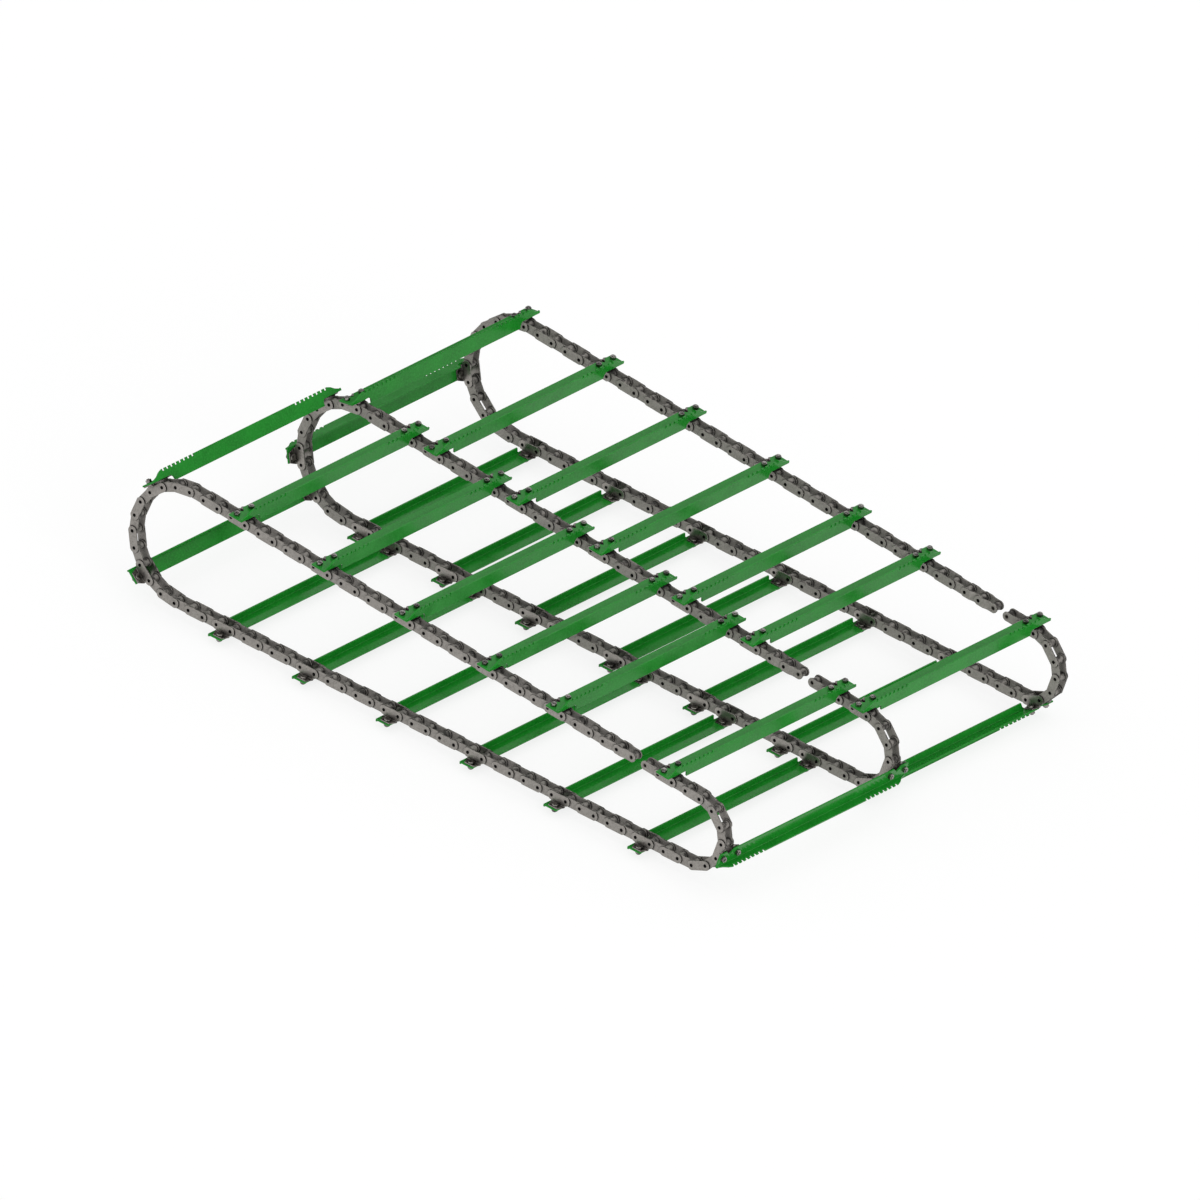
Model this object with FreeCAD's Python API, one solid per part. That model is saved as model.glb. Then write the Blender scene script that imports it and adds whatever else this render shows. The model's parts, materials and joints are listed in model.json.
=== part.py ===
import FreeCAD, Part
import math
import os

# Feederhouse conveyor chain: three strands of roller chain tied by T slats in two columns.
# It lies as it runs round a rear sprocket and a front drum, with the closing links taken out.
# Frame: the origin is on the rear sprocket's axis in the centre strand, X points to the
# front drum, Y across the strands and Z up. All sizes are in millimetres and degrees.

# Loop
PITCH = 41.4
LINK_PLACES = 91  # round the closed loop, the place of the missing closing link included
REAR_TEETH = 22
FRONT_TEETH = 13
OPEN_END_TO_FRONT_WRAP = 204.7  # from the open end's pin along the top run
STRAND_SPACING = 600.0
FAR_STRAND_LEAD = 2  # links by which the far strand and its slats run ahead of the near one

# Link plates
PLATE_HEIGHT = 23.1
PLATE_THICKNESS = 3.1
INNER_WIDTH = 20.24  # between the inner plates
SIDE_GAP = 0.3  # between an inner plate and the outer plate beside it
CRANK_CLEARANCE = 2.74  # between an offset plate's crank and the end of the next link's plate
END_FLATS = 5  # flats that stand for each round end, few because plates come in hundreds

# Pivots
PIN_DIAMETER = 8.0
PIN_HEAD = 1.0  # riveted end that stands out of the outer plate
BUSH_WALL = 1.54
ROLLER_INSET = 2.66  # from the plate's edge down to the roller
RUNNING_GAP = 0.06  # radial, pin in bush
PRESSED_GAP = 0.02  # radial, pin or bush in its plate
ROLLER_GAP = 0.1  # radial on the bush, and at each end of the roller
ROLLER_SIDES = 12  # of a roller whose joint stays shut

# Bolts with a square neck, two at each slat end
BOLT_NECK = 8.0
BOLT_GAP = 0.3  # all round the neck
BOLT_HEAD_RIM = 3.8  # by which the head stands out past the neck
BOLT_HEAD_HEIGHT = 4.0
BOLT_HEAD_SIDES = 8
BOLT_HEAD_GAP = 0.98  # between the head and the link plate beside it
NUT_WALL = 2.5
NUT_HEIGHT = 8.0
NUT_SIDES = 6

# Attachment plates: an outer plate bent outwards to a wing that narrows to its end
WING_RISE = 2.75  # from the plate's edge to the underside of the wing
WING_INSET = 1.4  # by which the wing's root is shorter than the pitch
WING_WIDTH = 25.0  # along the chain, at the wing's end
WING_MARGIN = 2.1  # past the bolt's head
BEND_FLAT = 0.6  # legs of the flat in the hollow of the bend

# Slats
SLAT_THICKNESS = 4.0
SLAT_MARGIN = 2.2  # past the end of the wing
FLANGE_CLEARANCE = 8.0  # between the wing's end and the flange, along the chain
STEM_MARGIN = 0.8  # by which the stem's free edge stands past the wing's end
FLANGE_RISE = 17.5  # above the stem
FLANGE_DROP = 15.3  # below the stem, between the strands only
DROP_CLEARANCE = 7.0  # between the lower flange and the ends of the pins
DROP_FILLET = 6.0  # slanted corner between the stem and the lower flange's end, along the slat
DROP_SHOULDER = 5.5  # depth of that corner
DROP_LEAN = 2.0  # by which the rest of the lower flange's end slants
TIP_RISE = 2.5  # height of the flange at the slat's tip
TIP_LENGTH = 6.0
RAMP_LENGTH = 35.0
RAMP_STEPS = 3  # straight stretches that stand for the ramp's gentle S
NOTCH_COUNT = 8
NOTCH_PITCH = 15.0
NOTCH_WIDTH = 7.5
NOTCH_DEPTH = 5.5
NOTCH_MARGIN = 2.0  # from the ramp to the first notch
STEM_NOTCH_WIDTH = 26.0
STEM_NOTCH_DEPTH = 13.0

# Which link carries what, by the number of its first pin counted from the open end
OFFSET_LINKS = (0, 1, 6)
FIRST_SLAT = 5
SECOND_SLAT = 10
SLAT_STEP = 6  # links from the second slat to the third, and so on
TIP_HINGE = 8
TAIL_HINGE = 12
LEAD_HINGE = 86

# Worked out from the sizes above, links first
REAR_RADIUS = PITCH / (2 * math.sin(math.pi / REAR_TEETH))
FRONT_RADIUS = PITCH / (2 * math.sin(math.pi / FRONT_TEETH))
INNER_FACE = INNER_WIDTH / 2
OUTER_FACE = INNER_FACE + PLATE_THICKNESS + SIDE_GAP
LINK_SIDE = OUTER_FACE + PLATE_THICKNESS
FLAT_ANGLE = math.pi / (END_FLATS + 1)
END_REACH = PLATE_HEIGHT / 2 / math.cos(FLAT_ANGLE / 2)  # to the corners between the flats
CRANK_HALF = PITCH / 2 - END_REACH - CRANK_CLEARANCE
PIN_LENGTH = 2 * (LINK_SIDE + PIN_HEAD)
BUSH_DIAMETER = PIN_DIAMETER + 2 * (RUNNING_GAP + BUSH_WALL)
BUSH_LENGTH = 2 * (INNER_FACE + PLATE_THICKNESS)
ROLLER_DIAMETER = PLATE_HEIGHT - 2 * ROLLER_INSET
ROLLER_LENGTH = INNER_WIDTH - 2 * ROLLER_GAP
PIN_HOLE = PIN_DIAMETER / 2 + PRESSED_GAP
BUSH_HOLE = BUSH_DIAMETER / 2 + PRESSED_GAP

# Heights over the pin line, and reaches from the strand's middle
WING_UNDER = PLATE_HEIGHT / 2 + WING_RISE
WING_SEAT = WING_UNDER + PLATE_THICKNESS
BEND_OUTSIDE = BEND_FLAT + (2 - math.sqrt(2)) * PLATE_THICKNESS  # keeps the thickness in the bend
STEM_TOP = WING_SEAT + SLAT_THICKNESS
BOLT_HEAD_DIAMETER = BOLT_NECK + 2 * BOLT_HEAD_RIM
NUT_ACROSS_FLATS = BOLT_NECK + 2 * NUT_WALL
BOLT_OFFSET = LINK_SIDE + BOLT_HEAD_GAP + BOLT_HEAD_DIAMETER / 2
WING_REACH = BOLT_OFFSET + BOLT_HEAD_DIAMETER / 2 + WING_MARGIN
DROP_START = PIN_LENGTH / 2 + DROP_CLEARANCE
SLAT_TIP = STRAND_SPACING / 2 + WING_REACH + SLAT_MARGIN  # from the slat's own middle

# Along the chain from the bolts
FLANGE_BACK = WING_WIDTH / 2 + FLANGE_CLEARANCE
STEM_EDGE = WING_WIDTH / 2 + STEM_MARGIN

# Links
LAST_LINK = LINK_PLACES - 2
SLAT_LINKS = (FIRST_SLAT,) + tuple(range(SECOND_SLAT, LAST_LINK, SLAT_STEP))
END_PINS = (0, 1, LAST_LINK, LAST_LINK + 1)  # open joints and the hinges of the end links
SLAT_ENDS = (-STRAND_SPACING / 2, STRAND_SPACING / 2)
HALVINGS = 50  # of a range in which a value is searched
STRANDS = (
    ("near", -STRAND_SPACING, 0),
    ("centre", 0.0, 0),
    ("far", STRAND_SPACING, FAR_STRAND_LEAD),
)


# The chain's path: top run to the rear, rear wrap, level bottom run, front wrap
def wrap_angle(axle_distance):
    """Slope of the line of axles, half the slope of the top run over the level bottom run."""
    return math.asin((REAR_RADIUS - FRONT_RADIUS) / axle_distance)


def path_lengths(axle_distance):
    slope = wrap_angle(axle_distance)
    run = axle_distance * math.cos(slope)
    return run, REAR_RADIUS * (math.pi + 2 * slope), run, FRONT_RADIUS * (math.pi - 2 * slope)


def path_point(distance, axle_distance):
    """Point (x, z) at a distance along the path from where the front wrap meets the top run."""
    slope = wrap_angle(axle_distance)
    run, rear_arc, _, front_arc = path_lengths(axle_distance)
    distance %= 2 * run + rear_arc + front_arc
    front_x = axle_distance * math.cos(slope)
    front_z = FRONT_RADIUS - REAR_RADIUS
    top_normal = math.pi / 2 - 2 * slope
    if distance < run:
        start_x = front_x + FRONT_RADIUS * math.cos(top_normal)
        start_z = front_z + FRONT_RADIUS * math.sin(top_normal)
        return start_x - distance * math.sin(top_normal), start_z + distance * math.cos(top_normal)
    distance -= run
    if distance < rear_arc:
        angle = top_normal + distance / REAR_RADIUS
        return REAR_RADIUS * math.cos(angle), REAR_RADIUS * math.sin(angle)
    distance -= rear_arc
    if distance < run:
        return distance, -REAR_RADIUS
    angle = -math.pi / 2 + (distance - run) / FRONT_RADIUS
    return front_x + FRONT_RADIUS * math.cos(angle), front_z + FRONT_RADIUS * math.sin(angle)


def next_pin(distance, axle_distance):
    """Distance along the path of the pin one pitch further on, found by halving."""
    here = path_point(distance, axle_distance)
    low, high = PITCH, math.pi / 2 * PITCH
    for _ in range(HALVINGS):
        middle = (low + high) / 2
        there = path_point(distance + middle, axle_distance)
        if math.dist(here, there) < PITCH:
            low = middle
        else:
            high = middle
    return distance + low


def pin_distances(axle_distance):
    distances = [OPEN_END_TO_FRONT_WRAP]
    for _ in range(LINK_PLACES):
        distances.append(next_pin(distances[-1], axle_distance))
    return distances


def closing_axle_distance():
    """Axle distance at which the links close the loop exactly, found by halving."""
    low = REAR_RADIUS + FRONT_RADIUS
    high = LINK_PLACES * PITCH / 2
    for _ in range(HALVINGS):
        middle = (low + high) / 2
        distances = pin_distances(middle)
        if distances[-1] - distances[0] > sum(path_lengths(middle)):
            low = middle
        else:
            high = middle
    return low


AXLE_DISTANCE = closing_axle_distance()
PINS = [path_point(distance, AXLE_DISTANCE) for distance in pin_distances(AXLE_DISTANCE)[:LINK_PLACES]]


def pin_at(place):
    return PINS[place % LINK_PLACES]


# Small tools
def prism(points, start, end):
    """Solid over an outline of (x, z) points, from start to end along Y."""
    corners = [FreeCAD.Vector(x, start, z) for x, z in points]
    return Part.Face(Part.makePolygon(corners + corners[:1])).extrude(FreeCAD.Vector(0, end - start, 0))


def flat_prism(points, start, end):
    """Solid over an outline of (x, y) points, from start to end along Z."""
    corners = [FreeCAD.Vector(x, y, start) for x, y in points]
    return Part.Face(Part.makePolygon(corners + corners[:1])).extrude(FreeCAD.Vector(0, 0, end - start))


def cross_prism(points, start, end):
    """Solid over an outline of (y, z) points, from start to end along X."""
    corners = [FreeCAD.Vector(start, y, z) for y, z in points]
    return Part.Face(Part.makePolygon(corners + corners[:1])).extrude(FreeCAD.Vector(end - start, 0, 0))


def regular(sides, across_flats):
    """Corners of a regular outline."""
    radius = across_flats / 2 / math.cos(math.pi / sides)
    angles = [2 * math.pi * (side + 0.5) / sides for side in range(sides)]
    return [(radius * math.cos(angle), radius * math.sin(angle)) for angle in angles]


def barrel(x, radius, length):
    """Round bar across the strand, centred on it."""
    start = FreeCAD.Vector(x, -length / 2, 0)
    return Part.makeCylinder(radius, length, start, FreeCAD.Vector(0, 1, 0))


def both_sides(solid):
    """A plate and its mirror image on the other side of the strand."""
    return [solid, solid.mirror(FreeCAD.Vector(0, 0, 0), FreeCAD.Vector(0, 1, 0))]


# One link, about its middle: +X points to its first pin, Z away from the loop's inside
def link_outline():
    """Straight bar with round ends, as flats that touch the true end circles."""
    points = []
    for side in (1, -1):
        for corner in range(END_FLATS + 1):
            angle = -math.pi / 2 + FLAT_ANGLE * (corner + 0.5)
            x = PITCH / 2 + END_REACH * math.cos(angle)
            z = END_REACH * math.sin(angle)
            points.append((side * x, side * z))
    return points


def bored(plate, first_hole, second_hole):
    """Plate with a hole at either pin, where a radius is given."""
    for side, radius in ((1, first_hole), (-1, second_hole)):
        if radius:
            plate = plate.cut(barrel(side * PITCH / 2, radius, 2 * WING_REACH))
    return plate


def inner_plates(first_turns, second_turns):
    plate = prism(link_outline(), INNER_FACE, INNER_FACE + PLATE_THICKNESS)
    return both_sides(bored(plate, first_turns and BUSH_HOLE, second_turns and BUSH_HOLE))


def outer_plates(first_turns, second_turns):
    plate = prism(link_outline(), OUTER_FACE, LINK_SIDE)
    return both_sides(bored(plate, first_turns and PIN_HOLE, second_turns and PIN_HOLE))


def offset_plates(first_turns, second_turns):
    """Cranked plates, narrow at the first pin and wide at the second."""
    end = PITCH / 2 + PLATE_HEIGHT
    strip = [(-end, OUTER_FACE), (-CRANK_HALF, OUTER_FACE), (CRANK_HALF, INNER_FACE), (end, INNER_FACE)]
    strip += [(x, y + PLATE_THICKNESS) for x, y in reversed(strip)]
    plate = flat_prism(strip, -PLATE_HEIGHT, PLATE_HEIGHT)
    plate = plate.common(prism(link_outline(), INNER_FACE, LINK_SIDE))
    return both_sides(bored(plate, first_turns and BUSH_HOLE, second_turns and PIN_HOLE))


def bolt_hole(y):
    """Square hole along Z for a bolt's neck."""
    half = BOLT_NECK / 2 + BOLT_GAP
    square = [(-half, y - half), (half, y - half), (half, y + half), (-half, y + half)]
    return flat_prism(square, WING_UNDER - PLATE_THICKNESS, STEM_TOP + SLAT_THICKNESS)


def attachment_plates(first_turns, second_turns):
    """Outer plates whose wings carry a slat: a bent sheet that narrows from its root."""
    bend = [(OUTER_FACE, 0), (OUTER_FACE, WING_SEAT - BEND_OUTSIDE), (OUTER_FACE + BEND_OUTSIDE, WING_SEAT)]
    bend += [(WING_REACH, WING_SEAT), (WING_REACH, WING_UNDER)]
    bend += [(LINK_SIDE + BEND_FLAT, WING_UNDER), (LINK_SIDE, WING_UNDER - BEND_FLAT), (LINK_SIDE, 0)]
    root, wing = (PITCH - WING_INSET) / 2, WING_WIDTH / 2
    taper = [(-root, OUTER_FACE), (-root, LINK_SIDE), (-wing, WING_REACH)]
    taper += [(-x, y) for x, y in reversed(taper)]
    sheet = cross_prism(bend, -root, root).common(flat_prism(taper, 0, WING_SEAT))
    plate = prism(link_outline(), OUTER_FACE, LINK_SIDE).fuse(sheet).removeSplitter()
    plate = plate.cut(bolt_hole(BOLT_OFFSET))
    return both_sides(bored(plate, first_turns and PIN_HOLE, second_turns and PIN_HOLE))


LINK_MAKERS = {
    "inner": inner_plates,
    "outer": outer_plates,
    "offset": offset_plates,
    "attachment": attachment_plates,
}


# What sits on a pin's axis
def pin():
    return barrel(0, PIN_DIAMETER / 2, PIN_LENGTH)


def bush():
    return barrel(0, BUSH_DIAMETER / 2, BUSH_LENGTH).cut(
        barrel(0, PIN_DIAMETER / 2 + RUNNING_GAP, PIN_LENGTH))


def turning_roller():
    return barrel(0, ROLLER_DIAMETER / 2, ROLLER_LENGTH).cut(
        barrel(0, BUSH_DIAMETER / 2 + ROLLER_GAP, PIN_LENGTH))


def shut_roller():
    """Roller with the bush and pin inside it, one solid where the joint stays shut."""
    return prism(regular(ROLLER_SIDES, ROLLER_DIAMETER), -ROLLER_LENGTH / 2, ROLLER_LENGTH / 2)


# One slat, about the middle of its length, in the frame of the links that carry it
def flange_half():
    """Outline (y, z) of half the upright flange, from the slat's middle round its tip and back."""
    top = STEM_TOP + FLANGE_RISE
    ramp_start = SLAT_TIP - TIP_LENGTH - RAMP_LENGTH
    points = []
    for notch in reversed(range(NOTCH_COUNT)):
        outer_side = ramp_start - NOTCH_MARGIN - notch * NOTCH_PITCH
        inner_side = outer_side - NOTCH_WIDTH
        floor = top - NOTCH_DEPTH
        points += [(inner_side, top), (inner_side, floor), (outer_side, floor), (outer_side, top)]
    for step in range(RAMP_STEPS + 1):
        share = step / RAMP_STEPS
        fall = share * share * (3 - 2 * share) * (FLANGE_RISE - TIP_RISE)
        points.append((ramp_start + share * RAMP_LENGTH, top - fall))
    drop = STRAND_SPACING / 2 - DROP_START
    points += [(SLAT_TIP, STEM_TOP + TIP_RISE), (SLAT_TIP, WING_SEAT), (drop, WING_SEAT)]
    points += [(drop - DROP_FILLET, WING_SEAT - DROP_SHOULDER)]
    points += [(drop - DROP_FILLET - DROP_LEAN, WING_SEAT - FLANGE_DROP)]
    return points


def bolt_places():
    """Where a slat's bolts stand along it."""
    return [strand + side * BOLT_OFFSET for strand in SLAT_ENDS for side in (-1, 1)]


def slat():
    """T slat: an upright flange with notched edges, and a flat stem that lies on the wings."""
    half = flange_half()
    outline = half + [(-y, z) for y, z in reversed(half)]
    flange = cross_prism(outline, FLANGE_BACK, FLANGE_BACK + SLAT_THICKNESS)
    stem = [(FLANGE_BACK, SLAT_TIP), (FLANGE_BACK, -SLAT_TIP), (-STEM_EDGE, -SLAT_TIP)]
    for strand in SLAT_ENDS:
        stem += [
            (-STEM_EDGE, strand - STEM_NOTCH_WIDTH / 2),
            (-STEM_EDGE + STEM_NOTCH_DEPTH, strand),
            (-STEM_EDGE, strand + STEM_NOTCH_WIDTH / 2),
        ]
    stem += [(-STEM_EDGE, SLAT_TIP)]
    whole = flange.fuse(flat_prism(stem, WING_SEAT, STEM_TOP)).removeSplitter()
    for y in bolt_places():
        whole = whole.cut(bolt_hole(y))
    return [whole]


def at_bolt_places(solid):
    """A copy of a solid on the axis of each of a slat's bolts."""
    return [solid.translated(FreeCAD.Vector(0, place, 0)) for place in bolt_places()]


def bolts():
    """Bolts with a square neck, heads under the wings."""
    half = BOLT_NECK / 2
    square = [(-half, -half), (half, -half), (half, half), (-half, half)]
    neck = flat_prism(square, WING_UNDER, STEM_TOP)
    head_outline = regular(BOLT_HEAD_SIDES, BOLT_HEAD_DIAMETER)
    head = flat_prism(head_outline, WING_UNDER - BOLT_HEAD_HEIGHT, WING_UNDER)
    return at_bolt_places(head.fuse(neck))


def nuts():
    return at_bolt_places(flat_prism(regular(NUT_SIDES, NUT_ACROSS_FLATS), STEM_TOP, STEM_TOP + NUT_HEIGHT))


# The order of the links along a strand
def link_kind(link):
    """Offset links stand where they are listed, and between them inner and outer links take turns."""
    if link in OFFSET_LINKS:
        return "offset"
    last_offset = max(offset for offset in OFFSET_LINKS if offset < link)
    return "inner" if (link - last_offset) % 2 else "outer"


def moving_body(link, lead):
    """Name of the body that a strand's link belongs to; lead is how far its strand runs ahead."""
    place = link - lead
    if place < TIP_HINGE:
        return "tail_tip"
    if place < TAIL_HINGE:
        return "tail_flap"
    if place < LEAD_HINGE:
        return "loop"
    return "lead_flap"


def link_body(strand, link, lead):
    if link == 0:
        return f"{strand}_tail_link"
    if link == LAST_LINK:
        return f"{strand}_lead_link"
    return moving_body(link, lead)


def turns(pin_number, lead):
    """Whether a strand's joint moves in this model or stands open, and so has its own bush and pin."""
    return pin_number in END_PINS or pin_number - lead in (TIP_HINGE, TAIL_HINGE, LEAD_HINGE)


def carries_slat(strand, link):
    """Near and far strands carry one column of slats each, the centre strand carries both."""
    behind = [slat_link - FAR_STRAND_LEAD for slat_link in SLAT_LINKS]
    return link in SLAT_LINKS or (strand == "centre" and link in behind)


def link_placement(place, y):
    """Frame of the link between a place's pin and the next one."""
    first, second = pin_at(place), pin_at(place + 1)
    angle = -math.degrees(math.atan2(first[1] - second[1], first[0] - second[0]))
    middle = FreeCAD.Vector((first[0] + second[0]) / 2, y, (first[1] + second[1]) / 2)
    return FreeCAD.Placement(middle, FreeCAD.Rotation(FreeCAD.Vector(0, 1, 0), angle))


nodes = {}
templates = {}


def add(body, kind, placement, maker, *arguments):
    """Put copies of a template's solids in the node of a body and a kind of piece."""
    key = (maker, arguments)
    if key not in templates:
        made = maker(*arguments)
        templates[key] = made if isinstance(made, list) else [made]
    for solid in templates[key]:
        copy = solid.copy()
        copy.Placement = placement.multiply(copy.Placement)
        nodes.setdefault(f"{body}_{kind}", []).append(copy)


def add_strand(strand, y, lead):
    for link in range(LAST_LINK + 1):
        kind = "attachment" if carries_slat(strand, link) else link_kind(link)
        ends = (turns(link, lead), turns(link + 1, lead))
        placement = link_placement(link - lead, y)
        add(link_body(strand, link, lead), f"{kind}_plates", placement, LINK_MAKERS[kind], *ends)
    for number in range(LAST_LINK + 2):
        before, after = max(number - 1, 0), min(number, LAST_LINK)
        wide_before = number > 0 and link_kind(before) != "inner"
        pin_link, bush_link = (before, after) if wide_before else (after, before)
        x, z = pin_at(number - lead)
        placement = FreeCAD.Placement(FreeCAD.Vector(x, y, z), link_placement(bush_link - lead, y).Rotation)
        bush_body = link_body(strand, bush_link, lead)
        if not turns(number, lead):
            add(bush_body, "rollers", placement, shut_roller)
            continue
        add(bush_body, "rollers", placement, turning_roller)
        add(bush_body, "bushes", placement, bush)
        if 0 < number <= LAST_LINK:
            add(link_body(strand, pin_link, lead), "pins", placement, pin)


def add_slats(y, lead):
    """One column of slats, which ties two strands together."""
    for link in SLAT_LINKS:
        body = moving_body(link, lead)
        placement = link_placement(link - lead, y)
        add(body, "slats", placement, slat)
        add(body, "slat_bolts", placement, bolts)
        add(body, "slat_nuts", placement, nuts)


for strand_name, strand_y, strand_lead in STRANDS:
    add_strand(strand_name, strand_y, strand_lead)
add_slats(-STRAND_SPACING / 2, 0)
add_slats(STRAND_SPACING / 2, FAR_STRAND_LEAD)

os.makedirs("parts", exist_ok=True)
for node_name, solids in nodes.items():
    Part.makeCompound(solids).exportStep(f"parts/{node_name}.step")
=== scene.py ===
import bmesh
import bpy
import json
import math
from mathutils import Matrix, Vector

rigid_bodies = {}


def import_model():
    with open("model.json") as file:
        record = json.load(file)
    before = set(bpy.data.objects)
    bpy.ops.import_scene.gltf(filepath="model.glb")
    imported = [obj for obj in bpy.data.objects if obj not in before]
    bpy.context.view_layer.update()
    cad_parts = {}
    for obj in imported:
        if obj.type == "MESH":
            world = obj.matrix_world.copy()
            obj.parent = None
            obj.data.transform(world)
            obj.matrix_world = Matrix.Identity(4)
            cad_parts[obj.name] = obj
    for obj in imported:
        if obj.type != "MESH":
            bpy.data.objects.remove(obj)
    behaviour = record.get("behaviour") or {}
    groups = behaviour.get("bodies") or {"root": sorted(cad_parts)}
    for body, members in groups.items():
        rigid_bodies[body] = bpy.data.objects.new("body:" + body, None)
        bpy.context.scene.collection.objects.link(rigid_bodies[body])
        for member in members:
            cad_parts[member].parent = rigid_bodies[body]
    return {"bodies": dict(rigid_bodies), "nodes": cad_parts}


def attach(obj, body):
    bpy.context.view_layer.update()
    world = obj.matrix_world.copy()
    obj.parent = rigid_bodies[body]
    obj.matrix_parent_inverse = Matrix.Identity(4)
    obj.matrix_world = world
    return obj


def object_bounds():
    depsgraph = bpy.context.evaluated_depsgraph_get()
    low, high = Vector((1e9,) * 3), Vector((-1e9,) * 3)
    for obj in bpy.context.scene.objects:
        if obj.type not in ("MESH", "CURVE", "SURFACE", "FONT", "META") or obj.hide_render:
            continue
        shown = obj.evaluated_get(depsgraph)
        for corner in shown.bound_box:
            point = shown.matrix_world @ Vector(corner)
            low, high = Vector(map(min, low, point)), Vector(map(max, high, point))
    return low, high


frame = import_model()
cad_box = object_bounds()
MM = 0.001

# Links, in the same sizes as the solids
LINK_SIDE = 16.62 * MM  # from a strand's middle to the outside of its outer plates
NUT_HALF = 4.0 * MM  # half of a nut's height

# Riveted pin ends, which the solids leave out where a joint stays shut
PIN_RADIUS = 4.0 * MM
PIN_HEAD = 1.0 * MM
PIN_CHAMFER = 0.5 * MM
PIN_DIMPLE_DEPTH = 0.4 * MM
PIN_DIMPLE_RADIUS = PIN_RADIUS / 2
PIN_SEGMENTS = 20
ROOT = 0.2 * MM  # by which an added piece sits inside what carries it

# Threaded ends of the slat bolts
BOLT_RADIUS = 4.0 * MM
THREAD_DEPTH = 0.55 * MM
THREAD_PITCH = 1.0 * MM
BOLT_END = 2.0 * MM
BOLT_SEGMENTS = 16

# Rounding of the solids' edges, by kind of piece
EDGE_RADIUS = {
    "slats": 0.6 * MM,
    "slat_nuts": 0.9 * MM,
    "slat_bolts": 0.6 * MM,
    "attachment_plates": 0.4 * MM,
    "inner_plates": 0.5 * MM,
    "outer_plates": 0.5 * MM,
    "offset_plates": 0.5 * MM,
    "rollers": 0.8 * MM,
    "bushes": 0.2 * MM,
    "pins": 0.5 * MM,
}
EDGE_ANGLE = math.radians(25)  # edges that turn more than this are rounded
EDGE_SEGMENTS = 2
FLAT_ANGLE = math.radians(0.5)  # facets that turn less than this are one face
WELD_DISTANCE = 0.001 * MM
CORNER_DIGITS = 6  # decimals of a metre to which the corners that facets share agree

# View of the photograph
CAMERA_AZIMUTH = math.radians(35.822)  # from -Y towards +X
CAMERA_ELEVATION = math.radians(29.055)
CAMERA_ROLL = math.radians(7.585)
CAMERA_DISTANCE = 6.0
VIEW_WIDTH = 2.7239
VIEW_CENTRE = Vector((0.76575, -0.04292, 0.0))

# Floor and light
FLOOR_SIZE = 14.0
FLOOR_GAP = 0.2 * MM  # between the floor and the lowest slats
FLOOR_PALE = 0.8  # as it lights the object
FLOOR_SEEN = 0.2  # as it takes the object's shadow
FLOOR_LIFT = 0.82  # what the lit floor then lacks to be white
FLOOR_ROUGHNESS = 0.9
WORLD_LEVEL = 0.85
WALL_LEVEL = 0.2  # share of that on the studio's back wall, which shows in gloss
WALL_PLACE = {"Y": (1.0, 0.6), "Z": (0.22, 0.2)}  # middle and reach, as parts of a direction
KEY_TOWARDS = Vector((0.86, -0.36, 0.36))
KEY_LEVEL = 0.32  # share of white that a surface facing the lamp shows
KEY_SPREAD = math.radians(40)

# Sizes of the patches in the finishes
FINE = 2.5 * MM
SPECK = 4 * MM
SOFT = 6 * MM
STREAK = 9 * MM
BLOTCH = 12 * MM
BROAD = 20 * MM
VAST = 60 * MM
PLAIN_DETAIL = 3.0
FINE_DETAIL = 5.0

# Limits of the noise that makes them, from none to all of a patch
CLOUD_LIMITS = (0.35, 0.65)
SPECK_LIMITS = (0.42, 0.68)
BLOTCH_LIMITS = (0.42, 0.6)
MOTTLE_LIMITS = (0.38, 0.62)
STREAK_LIMITS = (0.4, 0.6)
STEEL_STAIN_LIMITS = (0.5, 0.8)
PLATE_STAIN_LIMITS = (0.48, 0.75)
WEAR_HIGHLIGHT_LIMITS = (0.4, 0.6)
STEEL_WEAR_HIGHLIGHT_LIMITS = (0.45, 0.6)

# Wear and painted highlights on edges, dusty painted highlights in the paint's corners, painted shade
# in hollows
PAINT_EDGE_HIGHLIGHT = 1.5 * MM
STEEL_EDGE_HIGHLIGHT = 1.2 * MM
PAINT_DUST_HIGHLIGHT_REACH = 2.5 * MM
SEAM = 4 * MM
HOLLOW = 22 * MM
EDGE_SAMPLES = 4
EDGE_LIMITS = (0.995, 0.85)  # how far a blurred normal agrees with the true one, from flat to edge
HOLLOW_SAMPLES = 6
HOLLOW_LIMITS = (0.85, 0.45)  # share of the surroundings that is open, from open to hollow
ACROSS_LIMITS = (0.45, 0.85)  # part of a normal that points across, from edge to side
WHOLE = (0.0, 1.0)

# Grain, shares and gloss of the finishes
PAINT_DEPTH = 0.05 * MM
STEEL_DEPTH = 0.12 * MM
BUMP_STRENGTH = 0.6
PAINT_SPECKS = 0.65
PAINT_DUST_AND_HIGHLIGHT = 0.45
PAINT_WEAR_AND_HIGHLIGHT = 0.4
PAINT_GLOSS = 0.2
PAINT_ROUGHNESS = (0.16, 0.24)
STEEL_STAINS = 0.5
STEEL_GLOSS = 0.2
STEEL_ROUGHER = 0.15  # added to its roughness in patches
PLATE_STAINS = 0.6
PLATE_MOTTLE = 0.35

# Colours
PICTURE_WHITE = 255
PICTURE_TOE = 0.055
PICTURE_POWER = 2.4


def colour(*picture_values):
    """Linear colour from the red, green and blue, 0 to 255, that a picture shows."""
    shares = [(value / PICTURE_WHITE + PICTURE_TOE) / (1 + PICTURE_TOE) for value in picture_values]
    return tuple(share ** PICTURE_POWER for share in shares) + (1.0,)


def grey(level):
    """Grey of that linear level."""
    return (level, level, level, 1.0)


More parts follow.
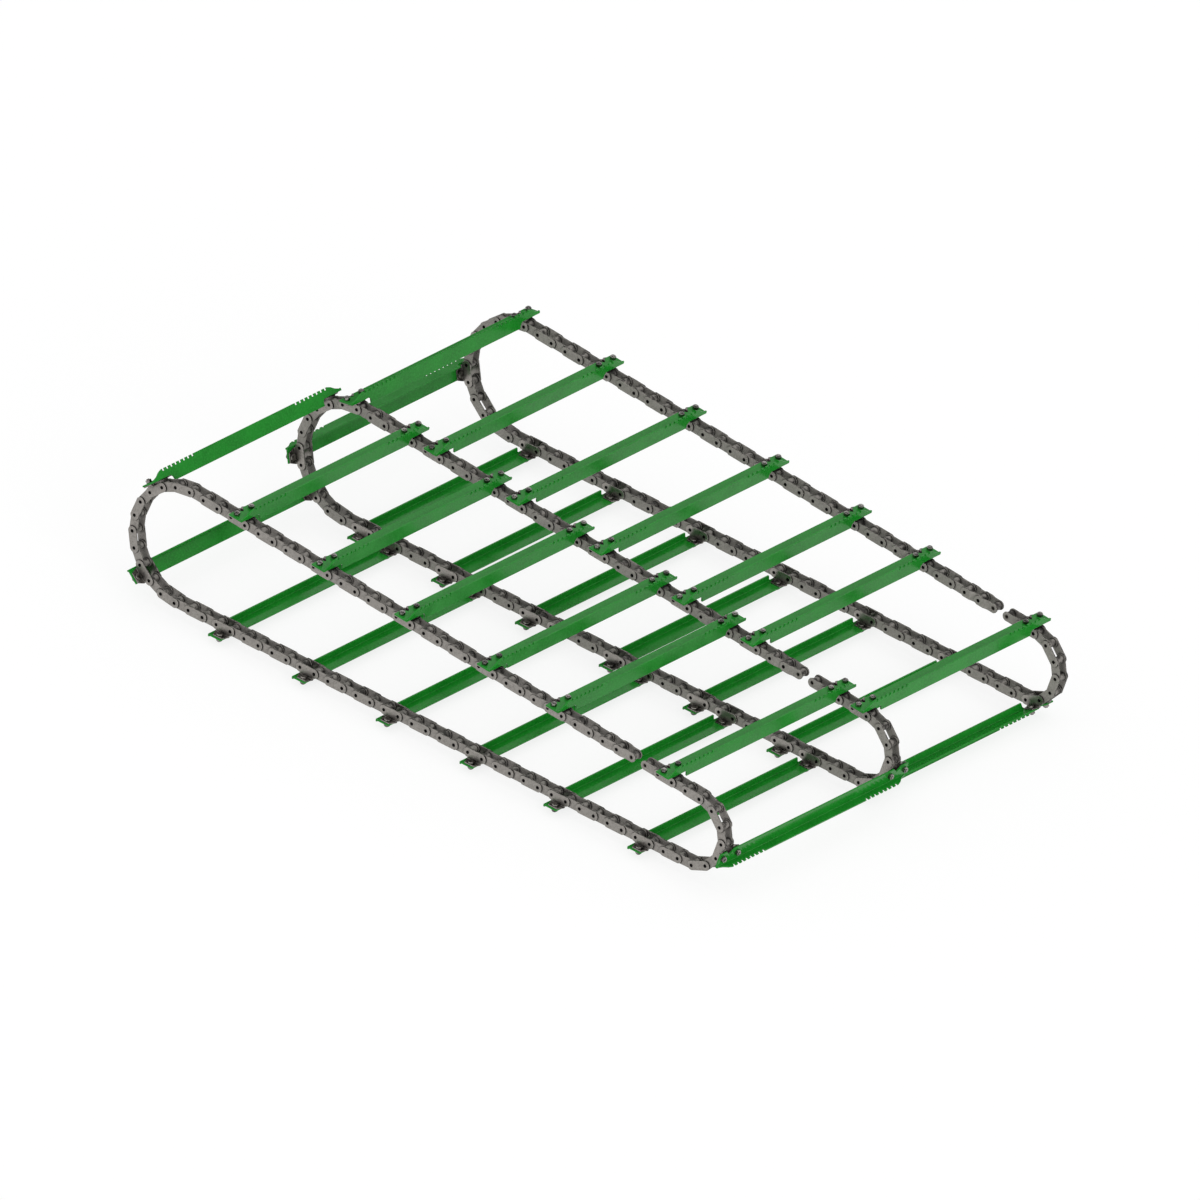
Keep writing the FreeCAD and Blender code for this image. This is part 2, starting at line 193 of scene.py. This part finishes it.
ENAMEL_DEEP = colour(15, 117, 27)
ENAMEL_PLAIN = colour(21, 129, 33)
ENAMEL_SPECK = colour(36, 142, 46)
# lighter green for the paint's inner corners: dusty, and a painted highlight
ENAMEL_DUST_AND_HIGHLIGHT = colour(76, 158, 82)
# lighter green for edges: wear and a painted highlight
ENAMEL_WORN_AND_HIGHLIT = colour(100, 164, 102)
PLATE_DULL = colour(142, 138, 133)
PLATE_PLAIN = colour(154, 150, 145)
PLATE_PALE = colour(176, 171, 165)
PLATE_STAIN = colour(92, 88, 84)
PLATE_EDGE = colour(128, 124, 119)
PLATE_STREAK = colour(48, 46, 44)
# bright steel for edges: wear and a painted highlight
STEEL_WORN_AND_HIGHLIT = colour(190, 186, 180)
# near black laid in hollows and between pieces: painted shade
PAINTED_SHADE = colour(12, 12, 11)
WHITE = grey(1.0)


class Nodes:
    """A node tree that is built up step by step."""

    def __init__(self, tree):
        self.tree = tree

    def node(self, kind, **settings):
        made = self.tree.nodes.new(kind)
        for setting, value in settings.items():
            setattr(made, setting, value)
        return made

    def join(self, value, socket):
        """Link an output to a socket, or set the socket where a plain value is given."""
        if isinstance(value, bpy.types.NodeSocket):
            self.tree.links.new(value, socket)
        else:
            socket.default_value = value

    def maths(self, operation, *values):
        made = self.node("ShaderNodeMath", operation=operation)
        for value, socket in zip(values, made.inputs):
            self.join(value, socket)
        return made.outputs[0]

    def times(self, first, second):
        return self.maths("MULTIPLY", first, second)

    def coordinates(self, kind):
        return self.node("ShaderNodeTexCoord").outputs[kind]

    def parts(self, vector):
        """The X, Y and Z outputs of a vector."""
        made = self.node("ShaderNodeSeparateXYZ")
        self.join(vector, made.inputs["Vector"])
        return made.outputs

    def spread(self, value, limits, start=0.0, end=1.0):
        """The value drawn out so that the first limit becomes start and the last one end."""
        first, last = limits
        made = self.node("ShaderNodeMapRange")
        self.join(value, made.inputs["Value"])
        made.inputs["From Min"].default_value = first
        made.inputs["From Max"].default_value = last
        made.inputs["To Min"].default_value = start
        made.inputs["To Max"].default_value = end
        return made.outputs["Result"]

    def between(self, share, start, end):
        """From start, where the share is 0, to end, where it is 1."""
        return self.spread(share, WHOLE, start, end)

    def mix(self, share, first, second):
        """First colour, with that share of the second."""
        made = self.node("ShaderNodeMixRGB")
        self.join(share, made.inputs["Fac"])
        self.join(first, made.inputs["Color1"])
        self.join(second, made.inputs["Color2"])
        return made.outputs["Color"]

    def shown(self):
        """1 for what is seen, mirrored or looked through to, 0 for what lights the object."""
        ways = self.node("ShaderNodeLightPath")
        total = ways.outputs["Is Camera Ray"]
        for way in ("Is Glossy Ray", "Is Transmission Ray"):
            total = self.maths("MAXIMUM", total, ways.outputs[way])
        return total


class Surface(Nodes):
    """A node material, with the patches, wear and dirt that the finishes share."""

    def __init__(self, name, gloss, metallic=0.0):
        self.material = bpy.data.materials.new(name)
        self.material.use_nodes = True
        super().__init__(self.material.node_tree)
        self.shader = self.tree.nodes["Principled BSDF"]
        self.shader.inputs["Specular IOR Level"].default_value = gloss
        self.shader.inputs["Metallic"].default_value = metallic

    def noise(self, patch, detail=PLAIN_DETAIL):
        """Cloudy value between 0 and 1 with patches of about that size in metres."""
        made = self.node("ShaderNodeTexNoise")
        self.join(self.coordinates("Object"), made.inputs["Vector"])
        made.inputs["Scale"].default_value = 1 / patch
        made.inputs["Detail"].default_value = detail
        return made.outputs["Fac"]

    def patches(self, patch, limits, detail=PLAIN_DETAIL):
        """Noise that is drawn out between those limits."""
        return self.spread(self.noise(patch, detail), limits)

    def edges(self, reach):
        """1 on edges that stand out, 0 on flat faces, blurred over that reach."""
        rounded = self.node("ShaderNodeBevel", samples=EDGE_SAMPLES)
        rounded.inputs["Radius"].default_value = reach
        geometry = self.node("ShaderNodeNewGeometry")
        turned = self.node("ShaderNodeVectorMath", operation="DOT_PRODUCT")
        self.join(rounded.outputs["Normal"], turned.inputs[0])
        self.join(geometry.outputs["Normal"], turned.inputs[1])
        return self.spread(turned.outputs["Value"], EDGE_LIMITS)

    def worn_highlit_edges(self, reach, limits=WEAR_HIGHLIGHT_LIMITS):
        """Edges, in patches: where wear and painted highlights lighten a finish."""
        return self.times(self.edges(reach), self.patches(SOFT, limits))

    def hollows(self, reach):
        """1 deep in corners and between pieces, 0 where a surface lies open."""
        made = self.node("ShaderNodeAmbientOcclusion", samples=HOLLOW_SAMPLES)
        made.inputs["Distance"].default_value = reach
        return self.spread(made.outputs["AO"], HOLLOW_LIMITS)

    def across(self):
        """1 on faces that look across the strands, 0 on those that look along them or up."""
        facing = self.parts(self.coordinates("Normal"))
        return self.spread(self.maths("ABSOLUTE", facing["Y"]), ACROSS_LIMITS)

    def finish(self, base, roughness, height, depth):
        """Join a colour, a roughness and a grain of that depth to the shader."""
        self.join(base, self.shader.inputs["Base Color"])
        self.join(roughness, self.shader.inputs["Roughness"])
        bump = self.node("ShaderNodeBump")
        bump.inputs["Distance"].default_value = depth
        bump.inputs["Strength"].default_value = BUMP_STRENGTH
        self.join(height, bump.inputs["Height"])
        self.join(bump.outputs["Normal"], self.shader.inputs["Normal"])
        return self.material


# Finishes
def paint(name):
    """Green enamel, a little cloudy and speckled, lighter on its edges from wear and a painted
    highlight, dusty and with a painted highlight in its corners.
    """
    surface = Surface(name, PAINT_GLOSS)
    clouds = surface.patches(VAST, CLOUD_LIMITS)
    grain = surface.noise(SPECK)
    specks = surface.spread(grain, SPECK_LIMITS, end=PAINT_SPECKS)
    # lighter in the inner corners: dusty, and a painted highlight
    dust_and_highlight = surface.times(surface.hollows(PAINT_DUST_HIGHLIGHT_REACH), PAINT_DUST_AND_HIGHLIGHT)
    base = surface.mix(clouds, ENAMEL_DEEP, ENAMEL_PLAIN)
    base = surface.mix(specks, base, ENAMEL_SPECK)
    base = surface.mix(dust_and_highlight, base, ENAMEL_DUST_AND_HIGHLIGHT)
    # lighter edges in patches: wear and a painted highlight
    base = surface.mix(surface.times(surface.worn_highlit_edges(PAINT_EDGE_HIGHLIGHT), PAINT_WEAR_AND_HIGHLIGHT), base, ENAMEL_WORN_AND_HIGHLIT)
    return surface.finish(base, surface.between(clouds, *PAINT_ROUGHNESS), grain, PAINT_DEPTH)


def steel(name, clean, stained, metallic=0.3, gloss=STEEL_GLOSS, roughness=0.42, wear_and_highlight=0.4, painted_shade_share=0.8):
    """Steel with dark stains; one share sets how bright its edges are, from wear and a painted
    highlight, another how dark its corners are, from painted shade.
    """
    surface = Surface(name, gloss, metallic)
    grain = surface.noise(FINE, FINE_DETAIL)
    blotches = surface.patches(BLOTCH, BLOTCH_LIMITS, FINE_DETAIL)
    stains = surface.spread(grain, STEEL_STAIN_LIMITS, end=STEEL_STAINS)
    # lighter edges in patches: wear and a painted highlight
    worn_highlit_edges = surface.worn_highlit_edges(STEEL_EDGE_HIGHLIGHT, STEEL_WEAR_HIGHLIGHT_LIMITS)
    base = surface.mix(blotches, clean, stained)
    base = surface.mix(stains, base, stained)
    base = surface.mix(surface.times(worn_highlit_edges, wear_and_highlight), base, STEEL_WORN_AND_HIGHLIT)
    # darker in corners and between pieces: painted shade
    base = surface.mix(surface.times(surface.hollows(HOLLOW), painted_shade_share), base, PAINTED_SHADE)
    rough = surface.between(blotches, roughness, roughness + STEEL_ROUGHER)
    return surface.finish(base, rough, grain, STEEL_DEPTH)


def plate_steel(name, metallic=0.2, roughness=0.5, wear_and_highlight=0.45, painted_shade_share=0.9):
    """Oiled link plates: mottled warm grey on their sides, dark and streaky on their edges."""
    surface = Surface(name, STEEL_GLOSS, metallic)
    grain = surface.noise(FINE, FINE_DETAIL)
    clouds = surface.patches(BROAD, CLOUD_LIMITS)
    mottle = surface.patches(SOFT, MOTTLE_LIMITS, FINE_DETAIL)
    stains = surface.spread(grain, PLATE_STAIN_LIMITS, end=PLATE_STAINS)
    streaks = surface.patches(STREAK, STREAK_LIMITS, FINE_DETAIL)
    side = surface.mix(clouds, PLATE_DULL, PLATE_PLAIN)
    side = surface.mix(surface.times(mottle, PLATE_MOTTLE), side, PLATE_PALE)
    side = surface.mix(stains, side, PLATE_STAIN)
    edge = surface.mix(streaks, PLATE_EDGE, PLATE_STREAK)
    base = surface.mix(surface.across(), edge, side)
    # lighter edges in patches: wear and a painted highlight
    base = surface.mix(surface.times(surface.worn_highlit_edges(STEEL_EDGE_HIGHLIGHT), wear_and_highlight), base, STEEL_WORN_AND_HIGHLIT)
    # darker in hollows and seams: painted shade
    for reach in (HOLLOW, SEAM):
        base = surface.mix(surface.times(surface.hollows(reach), painted_shade_share), base, PAINTED_SHADE)
    rough = surface.between(clouds, roughness, roughness + STEEL_ROUGHER)
    return surface.finish(base, rough, grain, STEEL_DEPTH)


slat_paint = paint("slat_paint")
chain_steel = plate_steel("chain_steel")
wing_steel = plate_steel("wing_steel", metallic=0.9, roughness=0.25, wear_and_highlight=0.9, painted_shade_share=0.45)
bolt_steel = plate_steel("bolt_steel", metallic=0.9, roughness=0.25, wear_and_highlight=0.2, painted_shade_share=0.4)
roller_steel = steel("roller_steel", clean=colour(138, 134, 129), stained=colour(56, 54, 52))
bush_steel = steel("bush_steel", clean=colour(146, 141, 134), stained=colour(92, 87, 83))
pin_steel = steel(
    "pin_steel",
    clean=colour(9, 9, 9),
    stained=colour(3, 3, 3),
    metallic=0.0,
    gloss=0.03,
    roughness=0.6,
    wear_and_highlight=0.0,
)
nut_steel = steel(
    "nut_steel",
    clean=colour(154, 151, 147),
    stained=colour(90, 88, 85),
    metallic=1.0,
    roughness=0.08,
    painted_shade_share=0.4,
)
thread_steel = steel(
    "thread_steel",
    clean=colour(160, 157, 153),
    stained=colour(84, 82, 80),
    metallic=0.8,
    roughness=0.22,
    painted_shade_share=0.3,
)
FINISHES = {
    "slats": slat_paint,
    "slat_nuts": nut_steel,
    "slat_bolts": bolt_steel,
    "attachment_plates": wing_steel,
    "inner_plates": chain_steel,
    "outer_plates": chain_steel,
    "offset_plates": chain_steel,
    "rollers": roller_steel,
    "bushes": bush_steel,
    "pins": pin_steel,
}


# The solids: their finish, and edges rounded as on the real pieces
def kind_of(node):
    """Kind of piece that a node's name ends in, the longest that fits."""
    return max((kind for kind in EDGE_RADIUS if node.endswith(f"_{kind}")), key=len)


def dress(solid, kind):
    """Finish a solid and round its edges, with its flat facets joined first so that none fold over."""
    solid.data.materials.clear()
    solid.data.materials.append(FINISHES[kind])
    weld = solid.modifiers.new("weld", "WELD")
    weld.merge_threshold = WELD_DISTANCE
    flats = solid.modifiers.new("flats", "DECIMATE")
    flats.decimate_type = "DISSOLVE"
    flats.angle_limit = FLAT_ANGLE
    rounding = solid.modifiers.new("rounding", "BEVEL")
    rounding.width = EDGE_RADIUS[kind]
    rounding.segments = EDGE_SEGMENTS
    rounding.limit_method = "ANGLE"
    rounding.angle_limit = EDGE_ANGLE
    rounding.use_clamp_overlap = False
    rounding.loop_slide = False


# Added pieces, in places taken from the solids
def solid_centres(node):
    """Middle of each separate solid of a node, from the faces that share corners."""
    mesh = frame["nodes"][node].data
    leader = {}

    def first_of(corner):
        while leader[corner] != corner:
            leader[corner] = leader[leader[corner]]
            corner = leader[corner]
        return corner

    corners = [tuple(round(value, CORNER_DIGITS) for value in vertex.co) for vertex in mesh.vertices]
    for corner in corners:
        leader[corner] = corner
    for face in mesh.polygons:
        first = first_of(corners[face.vertices[0]])
        for index in face.vertices[1:]:
            leader[first_of(corners[index])] = first
    groups = {}
    for corner in leader:
        groups.setdefault(first_of(corner), []).append(Vector(corner))
    return [sum(group, Vector()) / len(group) for group in groups.values()]


def nodes_of(kind):
    """Names of a kind's nodes, by body."""
    names = {body: f"{body}_{kind}" for body in frame["bodies"]}
    return {body: name for body, name in names.items() if name in frame["nodes"]}


def lathe(mesh, profile, segments, place, axis):
    """Add a turned shape: profile gives (height along the axis, radius) from its foot to its top."""
    turn = axis.to_track_quat("Z", "Y").to_matrix().to_4x4()
    turn.translation = place
    rings = []
    for height, radius in profile:
        ring = []
        for step in range(segments):
            angle = 2 * math.pi * step / segments
            corner = Vector((radius * math.cos(angle), radius * math.sin(angle), height))
            ring.append(mesh.verts.new(turn @ corner))
        rings.append(ring)
    for lower, upper in zip(rings, rings[1:]):
        for step in range(segments):
            after = (step + 1) % segments
            mesh.faces.new((lower[step], lower[after], upper[after], upper[step]))
    mesh.faces.new(rings[0][::-1])
    mesh.faces.new(rings[-1])


def add_object(name, data):
    """Put an object in the scene."""
    made = bpy.data.objects.new(name, data)
    bpy.context.scene.collection.objects.link(made)
    return made


def add_mesh(name, mesh, material):
    """Put a mesh in the scene, in one material."""
    data = bpy.data.meshes.new(name)
    mesh.to_mesh(data)
    mesh.free()
    data.materials.append(material)
    return add_object(name, data)


def add_piece(name, body, mesh, material):
    """Put a mesh in the scene as a piece that moves with a body."""
    piece = add_mesh(name, mesh, material)
    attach(piece, body)


def add_pin_ends():
    """Riveted pin ends on both sides of every joint that stays shut."""
    profile = [
        (-ROOT, PIN_RADIUS),
        (PIN_HEAD - PIN_CHAMFER, PIN_RADIUS),
        (PIN_HEAD, PIN_RADIUS - PIN_CHAMFER),
        (PIN_HEAD - PIN_DIMPLE_DEPTH, PIN_DIMPLE_RADIUS),
    ]
    bushed = [centre for node in nodes_of("bushes").values() for centre in solid_centres(node)]
    for body, node in nodes_of("rollers").items():
        mesh = bmesh.new()
        for centre in solid_centres(node):
            if all((centre - open_joint).length > PIN_RADIUS for open_joint in bushed):
                for side in (-1, 1):
                    axis = Vector((0, side, 0))
                    lathe(mesh, profile, PIN_SEGMENTS, centre + LINK_SIDE * axis, axis)
        if mesh.verts:
            add_piece(f"{body}_pin_ends", body, mesh, pin_steel)


def add_bolt_ends():
    """Threaded bolt ends on the slats' nuts."""
    core = BOLT_RADIUS - THREAD_DEPTH
    profile = [(-ROOT, core)]
    for turn in range(int(BOLT_END / THREAD_PITCH)):
        foot = turn * THREAD_PITCH
        profile += [
            (foot + THREAD_PITCH / 4, core),
            (foot + THREAD_PITCH / 2, BOLT_RADIUS),
            (foot + 3 * THREAD_PITCH / 4, BOLT_RADIUS),
        ]
    profile.append((BOLT_END, core))
    for body, node in nodes_of("slat_nuts").items():
        mesh = bmesh.new()
        bolt_centres = solid_centres(nodes_of("slat_bolts")[body])
        for centre in solid_centres(node):
            bolt = min(bolt_centres, key=lambda other: (other - centre).length)
            axis = (centre - bolt).normalized()
            lathe(mesh, profile, BOLT_SEGMENTS, centre + NUT_HALF * axis, axis)
        add_piece(f"{body}_bolt_ends", body, mesh, thread_steel)


# Floor, light and camera
def add_floor():
    """Pale floor that lights the object, and shows as white with the object's shadow."""
    surface = Surface("pale_floor", gloss=0.0)
    inputs = surface.shader.inputs
    shown = surface.shown()
    surface.join(surface.mix(shown, grey(FLOOR_PALE), grey(FLOOR_SEEN)), inputs["Base Color"])
    surface.join(surface.times(shown, FLOOR_LIFT), inputs["Emission Strength"])
    inputs["Emission Color"].default_value = WHITE
    inputs["Roughness"].default_value = FLOOR_ROUGHNESS
    mesh = bmesh.new()
    bmesh.ops.create_grid(mesh, x_segments=1, y_segments=1, size=FLOOR_SIZE / 2)
    floor = add_mesh("floor", mesh, surface.material)
    floor.location = (VIEW_CENTRE.x, VIEW_CENTRE.y, cad_box[0][2] - FLOOR_GAP)


def add_world():
    """White all round, with a dim back wall a little way above the horizon."""
    world = bpy.data.worlds.new("studio")
    world.use_nodes = True
    studio = Nodes(world.node_tree)
    background = studio.tree.nodes["Background"]
    background.inputs["Color"].default_value = WHITE
    level = studio.between(studio.shown(), WORLD_LEVEL, 1.0)
    direction = studio.parts(studio.coordinates("Generated"))
    within = [studio.maths("COMPARE", direction[axis], *place) for axis, place in WALL_PLACE.items()]
    dimmed = studio.between(studio.times(*within), 1.0, WALL_LEVEL)
    studio.join(studio.times(level, dimmed), background.inputs["Strength"])
    bpy.context.scene.world = world


def add_lamp():
    """Broad soft light from the front of the chain."""
    data = bpy.data.lights.new("key", "SUN")
    data.energy = KEY_LEVEL * math.pi
    data.angle = KEY_SPREAD
    lamp = add_object("key", data)
    lamp.rotation_euler = KEY_TOWARDS.to_track_quat("Z", "Y").to_euler()


def add_camera():
    """Parallel view from the photograph's side, with its slight roll."""
    data = bpy.data.cameras.new("camera")
    data.type = "ORTHO"
    data.ortho_scale = VIEW_WIDTH
    level = math.cos(CAMERA_ELEVATION)
    back = Vector((
        math.sin(CAMERA_AZIMUTH) * level,
        -math.cos(CAMERA_AZIMUTH) * level,
        math.sin(CAMERA_ELEVATION),
    ))
    side = Vector((math.cos(CAMERA_AZIMUTH), math.sin(CAMERA_AZIMUTH), 0))
    turn = Matrix((side, back.cross(side), back)).transposed()
    turn = turn @ Matrix.Rotation(CAMERA_ROLL, 3, "Z")
    camera = add_object("camera", data)
    camera.matrix_world = Matrix.Translation(VIEW_CENTRE + CAMERA_DISTANCE * back) @ turn.to_4x4()
    bpy.context.scene.camera = camera


for node_name, node_solid in frame["nodes"].items():
    dress(node_solid, kind_of(node_name))
add_pin_ends()
add_bolt_ends()
add_floor()
add_world()
add_lamp()
add_camera()
bpy.context.scene.view_settings.view_transform = "Standard"

bpy.context.view_layer.update()
